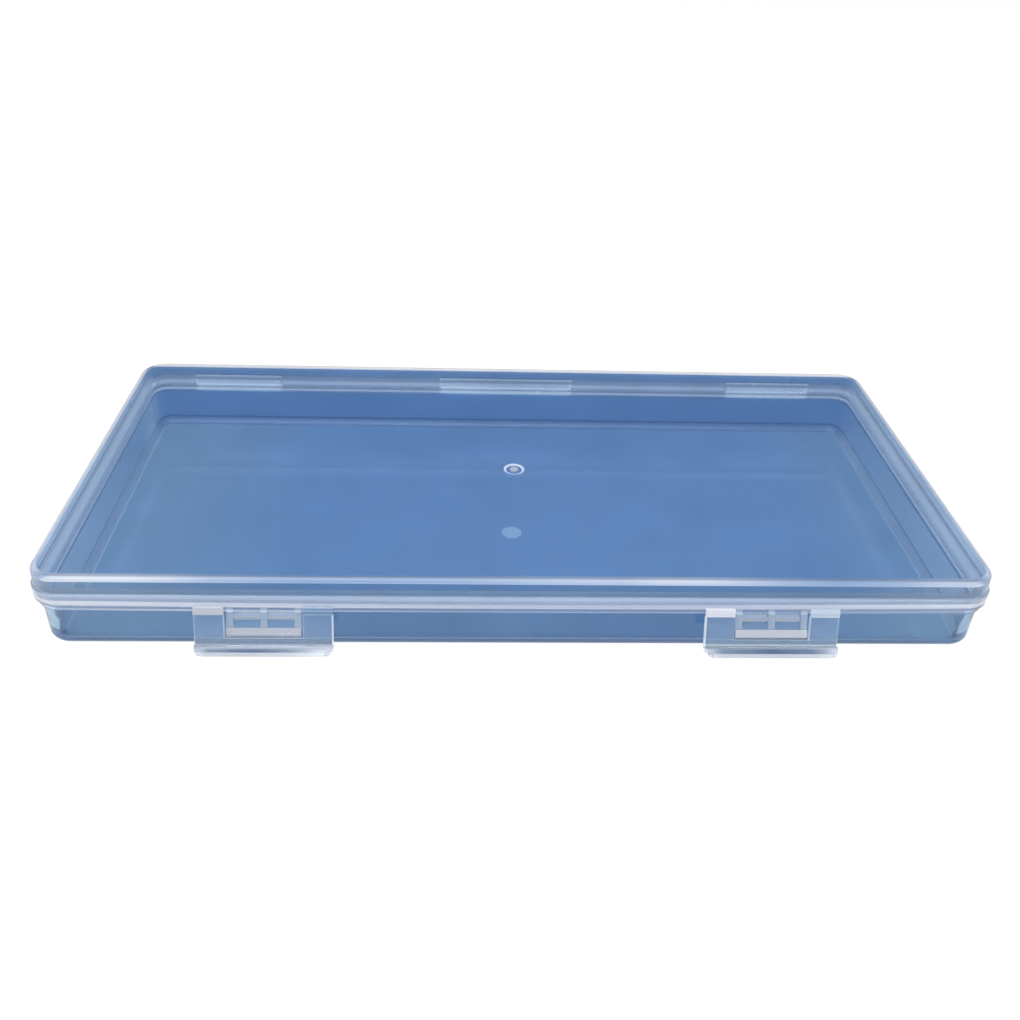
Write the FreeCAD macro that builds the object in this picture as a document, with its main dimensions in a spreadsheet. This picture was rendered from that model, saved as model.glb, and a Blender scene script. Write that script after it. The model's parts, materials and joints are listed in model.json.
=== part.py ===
import FreeCAD, Part
import math
import os
import Sketcher

# A shallow see-through palette box: a tray, a lid on three film hinges at the back, and two
# front flaps that hang from the lid's rim on film hinges and hook under a ribbed catch.
# Frame: X along the length, +Y to the back (hinge side), +Z up. The origin is on the
# underside, below the middle of the rim.

SIZES = (
    ("rim_length", 230.0, "length over the lid's rim, left to right"),
    ("rim_depth", 115.0, "depth over the lid's rim, front to back"),
    ("rim_corner", 7.5, "plan radius of the rim's corners"),
    ("base_height", 13.2, "underside to the flange's top, where the lid rests"),
    ("lid_height", 8.4, "flange's top to the lid's top"),
    ("lid_wall", 1.0, "lid skirt thickness"),
    ("lid_roof", 1.2, "lid top thickness"),
    ("lid_draft", 2.0, "lean of the lid's skirt, degrees"),
    ("lid_edge_radius", 1.5, "outside rounding of the lid's top edge"),
    ("lid_inner_radius", 0.6, "inside rounding of the lid's top edge"),
    ("bead_out", 0.3, "how far the lid's rim bead stands out of its skirt"),
    ("bead_height", 3.5, "height of the lid's rim bead"),
    ("bead_round", 0.3, "rounding of the rim bead's outer edges"),
    ("seat_gap", 0.05, "gap between the flange and the lid that rests on it"),
    ("skirt_clearance", 0.3, "gap between the lid's skirt and the tray's lip"),
    ("lip_ledge", 0.1, "how far the tray's wall stands out of its lip"),
    ("base_wall", 2.0, "tray wall thickness"),
    ("base_floor", 1.3, "tray floor thickness"),
    ("base_draft", 1.0, "lean of the tray's wall, degrees"),
    ("base_edge_radius", 3.0, "outside rounding of the tray's bottom edge"),
    ("base_inner_radius", 1.8, "inside rounding of the tray's bottom edge"),
    ("flange_out", 0.65, "how far the flange stands out of the tray's wall"),
    ("flange_height", 1.7, "thickness of the flange"),
    ("flange_round", 0.2, "rounding of the flange's outer edges"),
    ("lip_height", 3.2, "how far the tray's lip stands up inside the lid"),
    ("gate_diameter", 5.6, "outside diameter of a moulding mark"),
    ("gate_nub", 2.2, "diameter of the nub inside a moulding mark"),
    ("gate_depth", 0.3, "depth of a moulding mark"),
    ("lid_gate_setback", 6.8, "lid's moulding mark, in front of the middle"),
    ("tray_gate_setback", 8.0, "tray's moulding mark, in front of the middle"),
    ("strap_film", 0.5, "thickness of a rear hinge strap"),
    ("strap_bend", 0.6, "inside radius of a rear hinge strap's two bends"),
    ("strap_reach", 1.2, "rear hinge axis, behind the rim"),
    ("strap_above", 3.0, "top of a rear hinge strap above the lid's foot"),
    ("strap_below", 0.9, "foot of a rear hinge strap below the flange's top"),
    ("outer_strap_width", 27.0, "width of the left and right rear straps"),
    ("middle_strap_width", 41.6, "width of the middle rear strap"),
    ("strap_spacing", 171.6, "between the middles of the left and right rear straps"),
    ("latch_spacing", 120.5, "between the middles of the two flaps"),
    ("latch_width", 32.4, "width of a flap"),
    ("latch_plate", 1.2, "thickness of a flap"),
    ("latch_lean", 20.0, "lean of a closed flap, its foot outwards, degrees"),
    ("latch_round", 0.3, "rounding of a flap's front edges"),
    ("latch_reach", 0.15, "flap hinge axis, in front of the rim's face"),
    ("latch_film", 0.4, "thickness of a flap's film hinge"),
    ("latch_bend", 0.2, "inside radius of a flap's film hinge"),
    ("film_drop", 1.5, "flap hinge axis to the flap's top, along the flap"),
    ("window_width", 18.2, "width of the window in a flap"),
    ("hook_bar", 1.55, "height of the bar between the window and the finger lip"),
    ("finger_lip_out", 2.7, "how far the finger lip stands out of a flap"),
    ("finger_lip_thickness", 1.0, "thickness of the finger lip"),
    ("finger_lip_drop", 1.05, "how far the finger lip's edge falls, along the flap"),
    ("finger_lip_corner", 2.4, "plan radius of the finger lip's corners"),
    ("nose_level", 7.0, "catch nose's underside above the tray's underside"),
    ("nose_height", 1.8, "height of the catch's nose at the wall"),
    ("nose_edge", 0.5, "height of the nose's blunt tip"),
    ("nose_out", 2.75, "how far the nose's tip stands in front of the rim's face"),
    ("nose_slope", 1.0, "how far the nose's ramp runs back above its tip"),
    ("nose_round", 0.15, "rounding of the nose's tip"),
    ("hook_clearance", 0.25, "gap between the nose's tip and the hook bar that swings past it"),
    ("window_clearance", 0.4, "gap at each side of the nose in the window"),
    ("rib_width", 1.6, "thickness of a catch rib"),
    ("rib_setback", 0.2, "foot of a rib, behind the top of the nose's ramp"),
    ("rib_out", 0.5, "how far a rib's top stands out of the flange"),
    ("web_level", 10.6, "middle of the catch's cross web above the underside"),
    ("web_height", 1.0, "thickness of the catch's cross web"),
    ("web_setback", 0.3, "cross web's edge, behind the ribs' face"),
)
RIB_COUNT = 3
CLOSE = 1e-4  # lengths that differ by less are the same

doc = FreeCAD.newDocument("wet_palette")
sheet = doc.addObject("Spreadsheet::Sheet", "sizes")
for row, (alias, value, meaning) in enumerate(SIZES, start=1):
    sheet.set(f"A{row}", meaning)
    sheet.set(f"B{row}", str(value))
    sheet.setAlias(f"B{row}", alias)
doc.recompute()

# Places that several pieces share, as expressions of the sheet's cells
RIM_X = "sizes.rim_length / 2"
RIM_Y = "sizes.rim_depth / 2"
PARTING = "sizes.base_height"
LID_FOOT = "(sizes.base_height + sizes.seat_gap)"
LID_TOP = "(sizes.base_height + sizes.lid_height)"
FLANGE_FOOT = "(sizes.base_height - sizes.flange_height)"
LIP_INSET = "(sizes.bead_out + sizes.lid_wall + sizes.skirt_clearance)"
WALL_INSET = f"({LIP_INSET} - sizes.lip_ledge)"
FLANGE_INSET = f"({WALL_INSET} - sizes.flange_out)"
BASE_LEAN = "tan(sizes.base_draft * 1 deg)"
STRAP_OUTER = "(sizes.strap_bend + sizes.strap_film)"
STRAP_AXIS_Y = f"({RIM_Y} + sizes.strap_reach)"
STRAP_AXIS_Z = "(sizes.base_height + sizes.seat_gap / 2)"
STRAP_TOP = f"({LID_FOOT} + sizes.strap_above)"
STRAP_FOOT = "(sizes.base_height - sizes.strap_below)"
FILM_OUTER = "(sizes.latch_bend + sizes.latch_film)"
LATCH_AXIS_Y = f"(0 - {RIM_Y} - sizes.latch_reach)"
LATCH_AXIS_Z = f"({LID_FOOT} + sizes.bead_round - sizes.latch_bend)"
LEAN_SIN = "sin(sizes.latch_lean * 1 deg)"
LEAN_COS = "cos(sizes.latch_lean * 1 deg)"
POST_WIDTH = "((sizes.latch_width - sizes.window_width) / 2)"
NOSE_WIDTH = "(sizes.window_width - 2 * sizes.window_clearance)"
NOSE_TOP = "(sizes.nose_level + sizes.nose_height)"
NOSE_TIP_Y = f"(0 - {RIM_Y} - sizes.nose_out)"
NOSE_SWING = f"hypot({LATCH_AXIS_Y} - {NOSE_TIP_Y}; {LATCH_AXIS_Z} - sizes.nose_level)"
HOOK_TOP = f"(0 - {NOSE_SWING} - sizes.hook_clearance)"
FLAP_FOOT = f"({HOOK_TOP} - sizes.hook_bar - sizes.finger_lip_thickness)"
FLAP_FACE = "(0 - sizes.latch_plate / 2)"


def size(expression):
    """The number that an expression of the sheet's cells gives now."""
    return float(sheet.evalExpression(expression))


def tray_wall_inset(level):
    """How far the tray's outside face lies inside the rim at a height."""
    return f"({WALL_INSET} + (sizes.base_height - {level}) * {BASE_LEAN})"


def tray_front_y(level):
    """Y of the tray's front face at a height."""
    return f"({tray_wall_inset(level)} - {RIM_Y})"


def new_body(name):
    body = doc.addObject("PartDesign::Body", name)
    body.Label = name
    return body


def new_sketch(body, name, role, offset="0"):
    """A sketch on one of the body's origin planes, moved along that plane's normal."""
    support = next(f for f in body.Origin.OriginFeatures if f.Role == role)
    sketch = body.newObject("Sketcher::SketchObject", f"{body.Name}_{name}")
    sketch.AttachmentSupport = (support, [""])
    sketch.MapMode = "FlatFace"
    sketch.setExpression("AttachmentOffset.Base.z", offset)
    return sketch


def constrain(sketch, name, expression, *definition):
    """A named dimension of a sketch that follows an expression."""
    index = sketch.addConstraint(Sketcher.Constraint(*definition, size(expression)))
    sketch.renameConstraint(index, name)
    sketch.setExpression(f"Constraints.{name}", expression)


def add_rounded_rectangle(sketch, inset, name):
    """Closed outline at an inset from the rim, with corners concentric with the rim's."""
    half_x = size(f"{RIM_X} - {inset}")
    half_y = size(f"{RIM_Y} - {inset}")
    corner = size(f"sizes.rim_corner - {inset}")
    first = sketch.GeometryCount
    for turn in range(4):
        angle = math.radians(90 * turn)
        along, across = (half_x, half_y) if turn % 2 == 0 else (half_y, half_x)
        spin = FreeCAD.Rotation(FreeCAD.Vector(0, 0, 1), 90 * turn)
        start = spin.multVec(FreeCAD.Vector(corner - along, -across))
        end = spin.multVec(FreeCAD.Vector(along - corner, -across))
        centre = spin.multVec(FreeCAD.Vector(along - corner, corner - across))
        circle = Part.Circle(centre, FreeCAD.Vector(0, 0, 1), corner)
        sketch.addGeometry(Part.LineSegment(start, end))
        sketch.addGeometry(Part.ArcOfCircle(circle, angle - math.pi / 2, angle))
    front, right, back, left = (first + 2 * side for side in range(4))
    for edge in range(8):
        sketch.addConstraint(Sketcher.Constraint("Tangent", first + edge, 2, first + (edge + 1) % 8, 1))
    for line in (front, back):
        sketch.addConstraint(Sketcher.Constraint("Horizontal", line))
    for line in (right, left):
        sketch.addConstraint(Sketcher.Constraint("Vertical", line))
    for line in (front, right, back):
        sketch.addConstraint(Sketcher.Constraint("Equal", line + 1, line + 3))
    sketch.addConstraint(Sketcher.Constraint("Symmetric", left + 1, 3, right + 1, 3, -1, 1))
    constrain(sketch, f"{name}_length", f"2 * ({RIM_X} - {inset})", "DistanceX", left, 1, right, 1)
    constrain(sketch, f"{name}_depth", f"2 * ({RIM_Y} - {inset})", "DistanceY", front, 1, back, 1)
    constrain(sketch, f"{name}_corner", f"sizes.rim_corner - {inset}", "Radius", front + 1)


def add_outline(sketch, points, arcs=None):
    """Closed outline through points given as expressions. arcs names the edges that are arcs,
    counted from the point that they start at, each with its turn (1 left, -1 right) and centre."""
    arcs = arcs or {}
    places = [FreeCAD.Vector(size(u), size(v)) for u, v in points]
    count = len(points)
    ends = {}
    for edge, start in enumerate(places):
        end = places[(edge + 1) % count]
        ends[edge] = (1, 2)
        if edge in arcs:
            turn, centre = arcs[edge]
            middle = FreeCAD.Vector(size(centre[0]), size(centre[1]))
            circle = Part.Circle(middle, FreeCAD.Vector(0, 0, 1), (start - middle).Length)
            first, last = (start, end) if turn > 0 else (end, start)
            angles = [math.atan2(place.y - middle.y, place.x - middle.x) for place in (first, last)]
            sketch.addGeometry(Part.ArcOfCircle(circle, *angles))
            if turn < 0:
                ends[edge] = (2, 1)
        else:
            sketch.addGeometry(Part.LineSegment(start, end))
    for edge in range(count):
        after = (edge + 1) % count
        sketch.addConstraint(Sketcher.Constraint("Coincident", edge, ends[edge][1], after, ends[after][0]))
    for edge, (u, v) in enumerate(points):
        constrain(sketch, f"u{edge}", u, "DistanceX", -1, 1, edge, ends[edge][0])
        constrain(sketch, f"v{edge}", v, "DistanceY", -1, 1, edge, ends[edge][0])
        if edge in arcs:
            constrain(sketch, f"centre{edge}", arcs[edge][1][0], "DistanceX", -1, 1, edge, 3)


def feature(body, kind, name, sketch, length, **settings):
    """A pad or pocket of a sketch, its length an expression."""
    made = body.newObject(f"PartDesign::{kind}", f"{body.Name}_{name}")
    made.Profile = sketch
    made.setExpression("Length", length)
    for key, value in settings.items():
        setattr(made, key, value)
    doc.recompute()
    return made


def taper(made, angle):
    made.setExpression("TaperAngle", angle)
    doc.recompute()


def round_edges(body, name, radius, chosen):
    """Fillet the edges of the body's tip that the test picks."""
    tip = body.Tip
    names = [f"Edge{number}" for number, edge in enumerate(tip.Shape.Edges, start=1) if chosen(edge)]
    fillet = body.newObject("PartDesign::Fillet", f"{body.Name}_{name}")
    fillet.Base = (tip, names)
    fillet.setExpression("Radius", radius)
    doc.recompute()


def level_edge(level):
    """Picks the edges that lie flat at a height."""
    height = size(level)

    def chosen(edge):
        box = edge.BoundBox
        return abs(box.ZMin - height) < CLOSE and abs(box.ZMax - height) < CLOSE

    return chosen


def outer_level_edge(level, inset):
    """Picks the edges that lie flat at a height and are no further in than an inset from the rim."""
    flat = level_edge(level)
    half_x, half_y = size(f"{RIM_X} - {inset}"), size(f"{RIM_Y} - {inset}")

    def chosen(edge):
        box = edge.BoundBox
        reach_x = max(abs(box.XMin), abs(box.XMax))
        reach_y = max(abs(box.YMin), abs(box.YMax))
        return flat(edge) and (reach_x > half_x - CLOSE or reach_y > half_y - CLOSE)

    return chosen


def moulding_mark(body, level, setback, reverse):
    """A ring sunk round the spot where the plastic came in."""
    sketch = new_sketch(body, "gate_ring", "XY_Plane", level)
    for number, diameter in enumerate(("sizes.gate_diameter", "sizes.gate_nub")):
        centre = FreeCAD.Vector(0, -size(setback))
        sketch.addGeometry(Part.Circle(centre, FreeCAD.Vector(0, 0, 1), size(diameter) / 2))
        sketch.addConstraint(Sketcher.Constraint("PointOnObject", number, 3, -2))
        constrain(sketch, f"setback{number}", setback, "DistanceY", number, 3, -1, 1)
        constrain(sketch, f"ring{number}", diameter, "Diameter", number)
    feature(body, "Pocket", "gate", sketch, "sizes.gate_depth", Reversed=reverse)


def make_tray():
    body = new_body("base_tray")
    outline = new_sketch(body, "outline", "XY_Plane")
    add_rounded_rectangle(outline, tray_wall_inset("0"), "wall")
    block = feature(body, "Pad", "block", outline, PARTING)
    taper(block, "sizes.base_draft")
    round_edges(body, "bottom_edge", "sizes.base_edge_radius", level_edge("0"))
    hollow = new_sketch(body, "hollow", "XY_Plane", "sizes.base_floor")
    inner_inset = f"({tray_wall_inset('sizes.base_floor')} + sizes.base_wall)"
    add_rounded_rectangle(hollow, inner_inset, "hollow")
    cavity_depth = "sizes.base_height - sizes.base_floor"
    cavity = feature(body, "Pocket", "cavity", hollow, cavity_depth, Reversed=True)
    taper(cavity, "sizes.base_draft")
    round_edges(body, "floor_edge", "sizes.base_inner_radius", level_edge("sizes.base_floor"))
    ring = new_sketch(body, "flange_ring", "XY_Plane", FLANGE_FOOT)
    add_rounded_rectangle(ring, FLANGE_INSET, "outer")
    add_rounded_rectangle(ring, f"({WALL_INSET} + sizes.base_wall / 2)", "inner")
    feature(body, "Pad", "flange", ring, "sizes.flange_height")
    top, foot = outer_level_edge(PARTING, FLANGE_INSET), outer_level_edge(FLANGE_FOOT, FLANGE_INSET)
    round_edges(body, "flange_edge", "sizes.flange_round", lambda edge: top(edge) or foot(edge))
    lip = new_sketch(body, "lip_ring", "XY_Plane", PARTING)
    add_rounded_rectangle(lip, LIP_INSET, "outer")
    add_rounded_rectangle(lip, f"({WALL_INSET} + sizes.base_wall)", "inner")
    feature(body, "Pad", "lip", lip, "sizes.lip_height")
    moulding_mark(body, "0", "sizes.tray_gate_setback", reverse=True)
    return body


def make_lid():
    body = new_body("lid")
    outline = new_sketch(body, "outline", "XY_Plane", LID_FOOT)
    add_rounded_rectangle(outline, "sizes.bead_out", "skirt")
    block = feature(body, "Pad", "block", outline, "sizes.lid_height - sizes.seat_gap")
    taper(block, "0 - sizes.lid_draft")
    round_edges(body, "top_edge", "sizes.lid_edge_radius", level_edge(LID_TOP))
    hollow = new_sketch(body, "hollow", "XY_Plane", LID_FOOT)
    add_rounded_rectangle(hollow, "(sizes.bead_out + sizes.lid_wall)", "hollow")
    cavity_depth = "sizes.lid_height - sizes.seat_gap - sizes.lid_roof"
    cavity = feature(body, "Pocket", "cavity", hollow, cavity_depth, Reversed=True)
    taper(cavity, "0 - sizes.lid_draft")
    round_edges(body, "roof_edge", "sizes.lid_inner_radius", level_edge(f"{LID_TOP} - sizes.lid_roof"))
    ring = new_sketch(body, "bead_ring", "XY_Plane", LID_FOOT)
    add_rounded_rectangle(ring, "0", "outer")
    add_rounded_rectangle(ring, "(sizes.bead_out + sizes.lid_wall / 2)", "inner")
    feature(body, "Pad", "bead", ring, "sizes.bead_height")
    bead_top = outer_level_edge(f"{LID_FOOT} + sizes.bead_height", "0")
    bead_foot = outer_level_edge(LID_FOOT, "0")
    round_edges(body, "bead_edge", "sizes.bead_round", lambda edge: bead_top(edge) or bead_foot(edge))
    moulding_mark(body, LID_TOP, "sizes.lid_gate_setback", reverse=False)
    return body


def make_film(name, width, middle_x, points, arcs):
    """A film hinge: a thin bent strip, the same all along its width."""
    body = new_body(name)
    sketch = new_sketch(body, "section", "YZ_Plane")
    add_outline(sketch, points, arcs)
    feature(body, "Pad", "film", sketch, width, Midplane=True)
    body.setExpression("Placement.Base.x", middle_x)
    return body


def make_rear_hinges():
    """Three straps that run from the flange's back, up behind the hinge axis, to the lid's rim."""
    flange_back = f"({RIM_Y} - {FLANGE_INSET})"
    back, hollow_back = f"{STRAP_AXIS_Y} + {STRAP_OUTER}", f"{STRAP_AXIS_Y} + sizes.strap_bend"
    upper, lower = f"{STRAP_TOP} - {STRAP_OUTER}", f"{STRAP_FOOT} + {STRAP_OUTER}"
    points = (
        (flange_back, STRAP_FOOT),
        (STRAP_AXIS_Y, STRAP_FOOT),
        (back, lower),
        (back, upper),
        (STRAP_AXIS_Y, STRAP_TOP),
        (RIM_Y, STRAP_TOP),
        (RIM_Y, f"{STRAP_TOP} - sizes.strap_film"),
        (STRAP_AXIS_Y, f"{STRAP_TOP} - sizes.strap_film"),
        (hollow_back, upper),
        (hollow_back, lower),
        (STRAP_AXIS_Y, f"{STRAP_FOOT} + sizes.strap_film"),
        (flange_back, f"{STRAP_FOOT} + sizes.strap_film"),
    )
    foot_bend, top_bend = (STRAP_AXIS_Y, lower), (STRAP_AXIS_Y, upper)
    arcs = {1: (1, foot_bend), 3: (1, top_bend), 7: (-1, top_bend), 9: (-1, foot_bend)}
    straps = (
        ("rear_hinge_left", "sizes.outer_strap_width", "0 - sizes.strap_spacing / 2"),
        ("rear_hinge_middle", "sizes.middle_strap_width", "0"),
        ("rear_hinge_right", "sizes.outer_strap_width", "sizes.strap_spacing / 2"),
    )
    return [make_film(*strap, points, arcs) for strap in straps]


def make_latch_films(side, sign):
    """Two films that come out of the rim's face, bend down and hang along a flap's leaning front."""

    def leaning(drop, along):
        """A point some way down the flap from the axis and some way across the flap's thickness."""
        y = f"{LATCH_AXIS_Y} - {drop} * {LEAN_SIN} + {along} * {LEAN_COS}"
        z = f"{LATCH_AXIS_Z} - {drop} * {LEAN_COS} - {along} * {LEAN_SIN}"
        return y, z

    front, hollow = f"(0 - {FILM_OUTER})", "(0 - sizes.latch_bend)"
    points = (
        leaning("sizes.film_drop", front),
        leaning("0", front),
        (LATCH_AXIS_Y, f"{LATCH_AXIS_Z} + {FILM_OUTER}"),
        (f"0 - {RIM_Y}", f"{LATCH_AXIS_Z} + {FILM_OUTER}"),
        (f"0 - {RIM_Y}", f"{LATCH_AXIS_Z} + sizes.latch_bend"),
        (LATCH_AXIS_Y, f"{LATCH_AXIS_Z} + sizes.latch_bend"),
        leaning("0", hollow),
        leaning("sizes.film_drop", hollow),
    )
    axis = (LATCH_AXIS_Y, LATCH_AXIS_Z)
    arcs = {1: (-1, axis), 5: (1, axis)}
    post_offset = f"((sizes.window_width + {POST_WIDTH}) / 2)"
    films = []
    for place, shift in (("outer", f"+ {post_offset}"), ("inner", f"- {post_offset}")):
        name = f"latch_film_{side}_{place}"
        middle_x = f"{sign} * (sizes.latch_spacing / 2 {shift})"
        films.append(make_film(name, POST_WIDTH, middle_x, points, arcs))
    return films


def make_latch_flap(side, sign):
    """A flap with two posts, a hook bar under its window and a finger lip along its foot. It is
    drawn hanging straight down from the hinge axis, and its placement leans it out."""
    body = new_body(f"latch_flap_{side}")
    half, window = "sizes.latch_width / 2", "sizes.window_width / 2"
    top = "(0 - sizes.film_drop)"
    front = new_sketch(body, "front", "XZ_Plane", FLAP_FACE)
    points = (
        (f"0 - {half}", FLAP_FOOT),
        (half, FLAP_FOOT),
        (half, top),
        (window, top),
        (window, HOOK_TOP),
        (f"0 - {window}", HOOK_TOP),
        (f"0 - {window}", top),
        (f"0 - {half}", top),
    )
    add_outline(front, points)
    feature(body, "Pad", "plate", front, "sizes.latch_plate")
    lip = new_sketch(body, "lip", "YZ_Plane")
    lip_edge = f"({FLAP_FACE} - sizes.finger_lip_out)"
    lip_top = f"({FLAP_FOOT} + sizes.finger_lip_thickness)"
    points = (
        ("0", FLAP_FOOT),
        (FLAP_FACE, FLAP_FOOT),
        (lip_edge, f"{FLAP_FOOT} - sizes.finger_lip_drop"),
        (lip_edge, f"{lip_top} - sizes.finger_lip_drop"),
        (FLAP_FACE, lip_top),
        ("0", lip_top),
    )
    add_outline(lip, points)
    feature(body, "Pad", "finger_lip", lip, "sizes.latch_width", Midplane=True)
    edge_y, half_width = size(lip_edge), size(half)

    def lip_corner(edge):
        box = edge.BoundBox
        upright = abs(box.XMin - box.XMax) < CLOSE and abs(box.YMin - edge_y) < CLOSE
        return upright and abs(box.YMax - edge_y) < CLOSE and abs(abs(box.XMin) - half_width) < CLOSE

    round_edges(body, "lip_corner", "sizes.finger_lip_corner", lip_corner)
    face_y, lip_level, top_level = size(FLAP_FACE), size(lip_top), size(top)

    def front_edge(edge):
        box = edge.BoundBox
        on_face = abs(box.YMin - face_y) < CLOSE and abs(box.YMax - face_y) < CLOSE
        return on_face and lip_level + CLOSE < box.ZMin < top_level - CLOSE

    round_edges(body, "front_edge", "sizes.latch_round", front_edge)
    leaning = FreeCAD.Rotation(FreeCAD.Vector(-1, 0, 0), size("sizes.latch_lean"))
    body.Placement = FreeCAD.Placement(FreeCAD.Vector(), leaning)
    body.setExpression("Placement.Rotation.Angle", "sizes.latch_lean * 1 deg")
    body.setExpression("Placement.Base.x", f"{sign} * sizes.latch_spacing / 2")
    body.setExpression("Placement.Base.y", LATCH_AXIS_Y)
    body.setExpression("Placement.Base.z", LATCH_AXIS_Z)
    return body


def make_catch(side, sign):
    """The keeper on the tray's front wall: a nose bar with a ramp, three ribs and a cross web."""
    body = new_body(f"catch_{side}")
    nose = new_sketch(body, "nose", "YZ_Plane")
    ramp_top_y = f"({NOSE_TIP_Y} + sizes.nose_slope)"
    points = (
        (tray_front_y("sizes.nose_level"), "sizes.nose_level"),
        (NOSE_TIP_Y, "sizes.nose_level"),
        (NOSE_TIP_Y, "sizes.nose_level + sizes.nose_edge"),
        (ramp_top_y, NOSE_TOP),
        (tray_front_y(NOSE_TOP), NOSE_TOP),
    )
    add_outline(nose, points)
    feature(body, "Pad", "nose_bar", nose, NOSE_WIDTH, Midplane=True)
    tip_y = size(NOSE_TIP_Y)

    def tip_edge(edge):
        box = edge.BoundBox
        return abs(box.YMin - tip_y) < CLOSE and abs(box.YMax - tip_y) < CLOSE

    round_edges(body, "tip_edge", "sizes.nose_round", tip_edge)
    rib_foot_y = f"({ramp_top_y} + sizes.rib_setback)"
    flange_face_y = f"({FLANGE_INSET} - {RIM_Y})"
    rib_top_y = f"({flange_face_y} - sizes.rib_out)"
    rib_top = f"({PARTING} - sizes.flange_round)"
    rib = new_sketch(body, "rib", "YZ_Plane", f"0 - {NOSE_WIDTH} / 2")
    points = (
        (tray_front_y(NOSE_TOP), NOSE_TOP),
        (rib_foot_y, NOSE_TOP),
        (rib_top_y, rib_top),
        (flange_face_y, rib_top),
        (flange_face_y, FLANGE_FOOT),
        (tray_front_y(FLANGE_FOOT), FLANGE_FOOT),
    )
    add_outline(rib, points)
    rib_pad = feature(body, "Pad", "rib_bar", rib, "sizes.rib_width")
    ribs = body.newObject("PartDesign::LinearPattern", f"{body.Name}_ribs")
    ribs.Originals = [rib_pad]
    along_x = next(f for f in body.Origin.OriginFeatures if f.Role == "X_Axis")
    ribs.Direction = (along_x, [""])
    ribs.setExpression("Length", f"{NOSE_WIDTH} - sizes.rib_width")
    ribs.Occurrences = RIB_COUNT
    body.Tip = ribs
    doc.recompute()
    web = new_sketch(body, "web", "YZ_Plane")
    web_foot = "(sizes.web_level - sizes.web_height / 2)"
    web_top = "(sizes.web_level + sizes.web_height / 2)"
    rise = f"({rib_top} - {NOSE_TOP})"
    web_face_y = (
        f"({rib_foot_y} + ({rib_top_y} - {rib_foot_y}) * ({web_top} - {NOSE_TOP}) / {rise}"
        " + sizes.web_setback)"
    )
    points = (
        (tray_front_y(web_foot), web_foot),
        (web_face_y, web_foot),
        (web_face_y, web_top),
        (tray_front_y(web_top), web_top),
    )
    add_outline(web, points)
    feature(body, "Pad", "cross_web", web, f"{NOSE_WIDTH} - sizes.rib_width", Midplane=True)
    body.setExpression("Placement.Base.x", f"{sign} * sizes.latch_spacing / 2")
    return body


pieces = [make_tray(), make_lid()]
pieces += make_rear_hinges()
for side, sign in (("left", "-1"), ("right", "1")):
    pieces.append(make_catch(side, sign))
    pieces.append(make_latch_flap(side, sign))
    pieces += make_latch_films(side, sign)
doc.recompute()

for item in doc.Objects:
    if "Invalid" in item.State or "Error" in item.State:
        raise RuntimeError(f"{item.Label} failed: {item.State}")
os.makedirs("parts", exist_ok=True)
for piece in pieces:
    shape = piece.Shape
    if shape.isNull() or not shape.isValid() or len(shape.Solids) != 1:
        raise RuntimeError(f"{piece.Label} is not one valid solid")
for piece in pieces:
    piece.Shape.exportStep(f"parts/{piece.Label}.step")
    box = piece.Shape.optimalBoundingBox(False, False)
    print(
        f"{piece.Label}: {piece.Shape.Volume:.1f} mm3,"
        f" x {box.XMin:.2f} to {box.XMax:.2f}, y {box.YMin:.2f} to {box.YMax:.2f},"
        f" z {box.ZMin:.2f} to {box.ZMax:.2f}"
    )
print(f"rear hinge axis: y {size(STRAP_AXIS_Y):.3f}, z {size(STRAP_AXIS_Z):.3f}")
print(f"flap hinge axis: y {size(LATCH_AXIS_Y):.3f}, z {size(LATCH_AXIS_Z):.3f}")
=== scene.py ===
# %% [markdown]
# A shallow palette box, moulded from clear plastic with a blue cast. The lid folds on three thin straps
# at the back, and two flaps hang from its front rim on films and hook under a ribbed catch on the tray.
# The solids of all these pieces are loaded first. Everything after that dresses them, so the box keeps
# its sizes and its joints.

# %% Load the solids
import json
import math

import bpy
from mathutils import Matrix, Vector


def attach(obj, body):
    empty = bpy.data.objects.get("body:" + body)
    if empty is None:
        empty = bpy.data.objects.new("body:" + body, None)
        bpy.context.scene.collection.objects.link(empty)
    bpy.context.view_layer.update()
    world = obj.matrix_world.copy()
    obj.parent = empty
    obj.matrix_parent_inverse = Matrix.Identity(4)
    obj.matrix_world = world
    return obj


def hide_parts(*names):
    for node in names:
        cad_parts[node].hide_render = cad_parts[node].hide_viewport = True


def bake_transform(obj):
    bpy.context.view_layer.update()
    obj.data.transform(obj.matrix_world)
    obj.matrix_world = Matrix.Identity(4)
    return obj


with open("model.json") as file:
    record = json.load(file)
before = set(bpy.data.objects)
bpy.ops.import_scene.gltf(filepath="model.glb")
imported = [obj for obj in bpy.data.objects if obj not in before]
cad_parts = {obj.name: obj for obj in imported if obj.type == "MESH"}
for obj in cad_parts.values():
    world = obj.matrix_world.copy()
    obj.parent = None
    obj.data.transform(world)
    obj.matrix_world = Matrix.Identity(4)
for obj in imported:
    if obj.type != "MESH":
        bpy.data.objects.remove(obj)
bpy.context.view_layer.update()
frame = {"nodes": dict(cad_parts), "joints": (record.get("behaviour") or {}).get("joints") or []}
MM = 0.001
print("solids:", sorted(frame["nodes"]))

# %% [markdown]
# The camera stands in front of the box, a little to the left, and looks down on it. It could be placed by
# eye, but then no line of the picture would be sure. Here its place and angles were fitted to the long
# edges of the lid and the tray, and they are written as real sizes. A camera looks along its own -Z, so
# its three axes are laid out as the columns of a matrix and then rolled.

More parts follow.
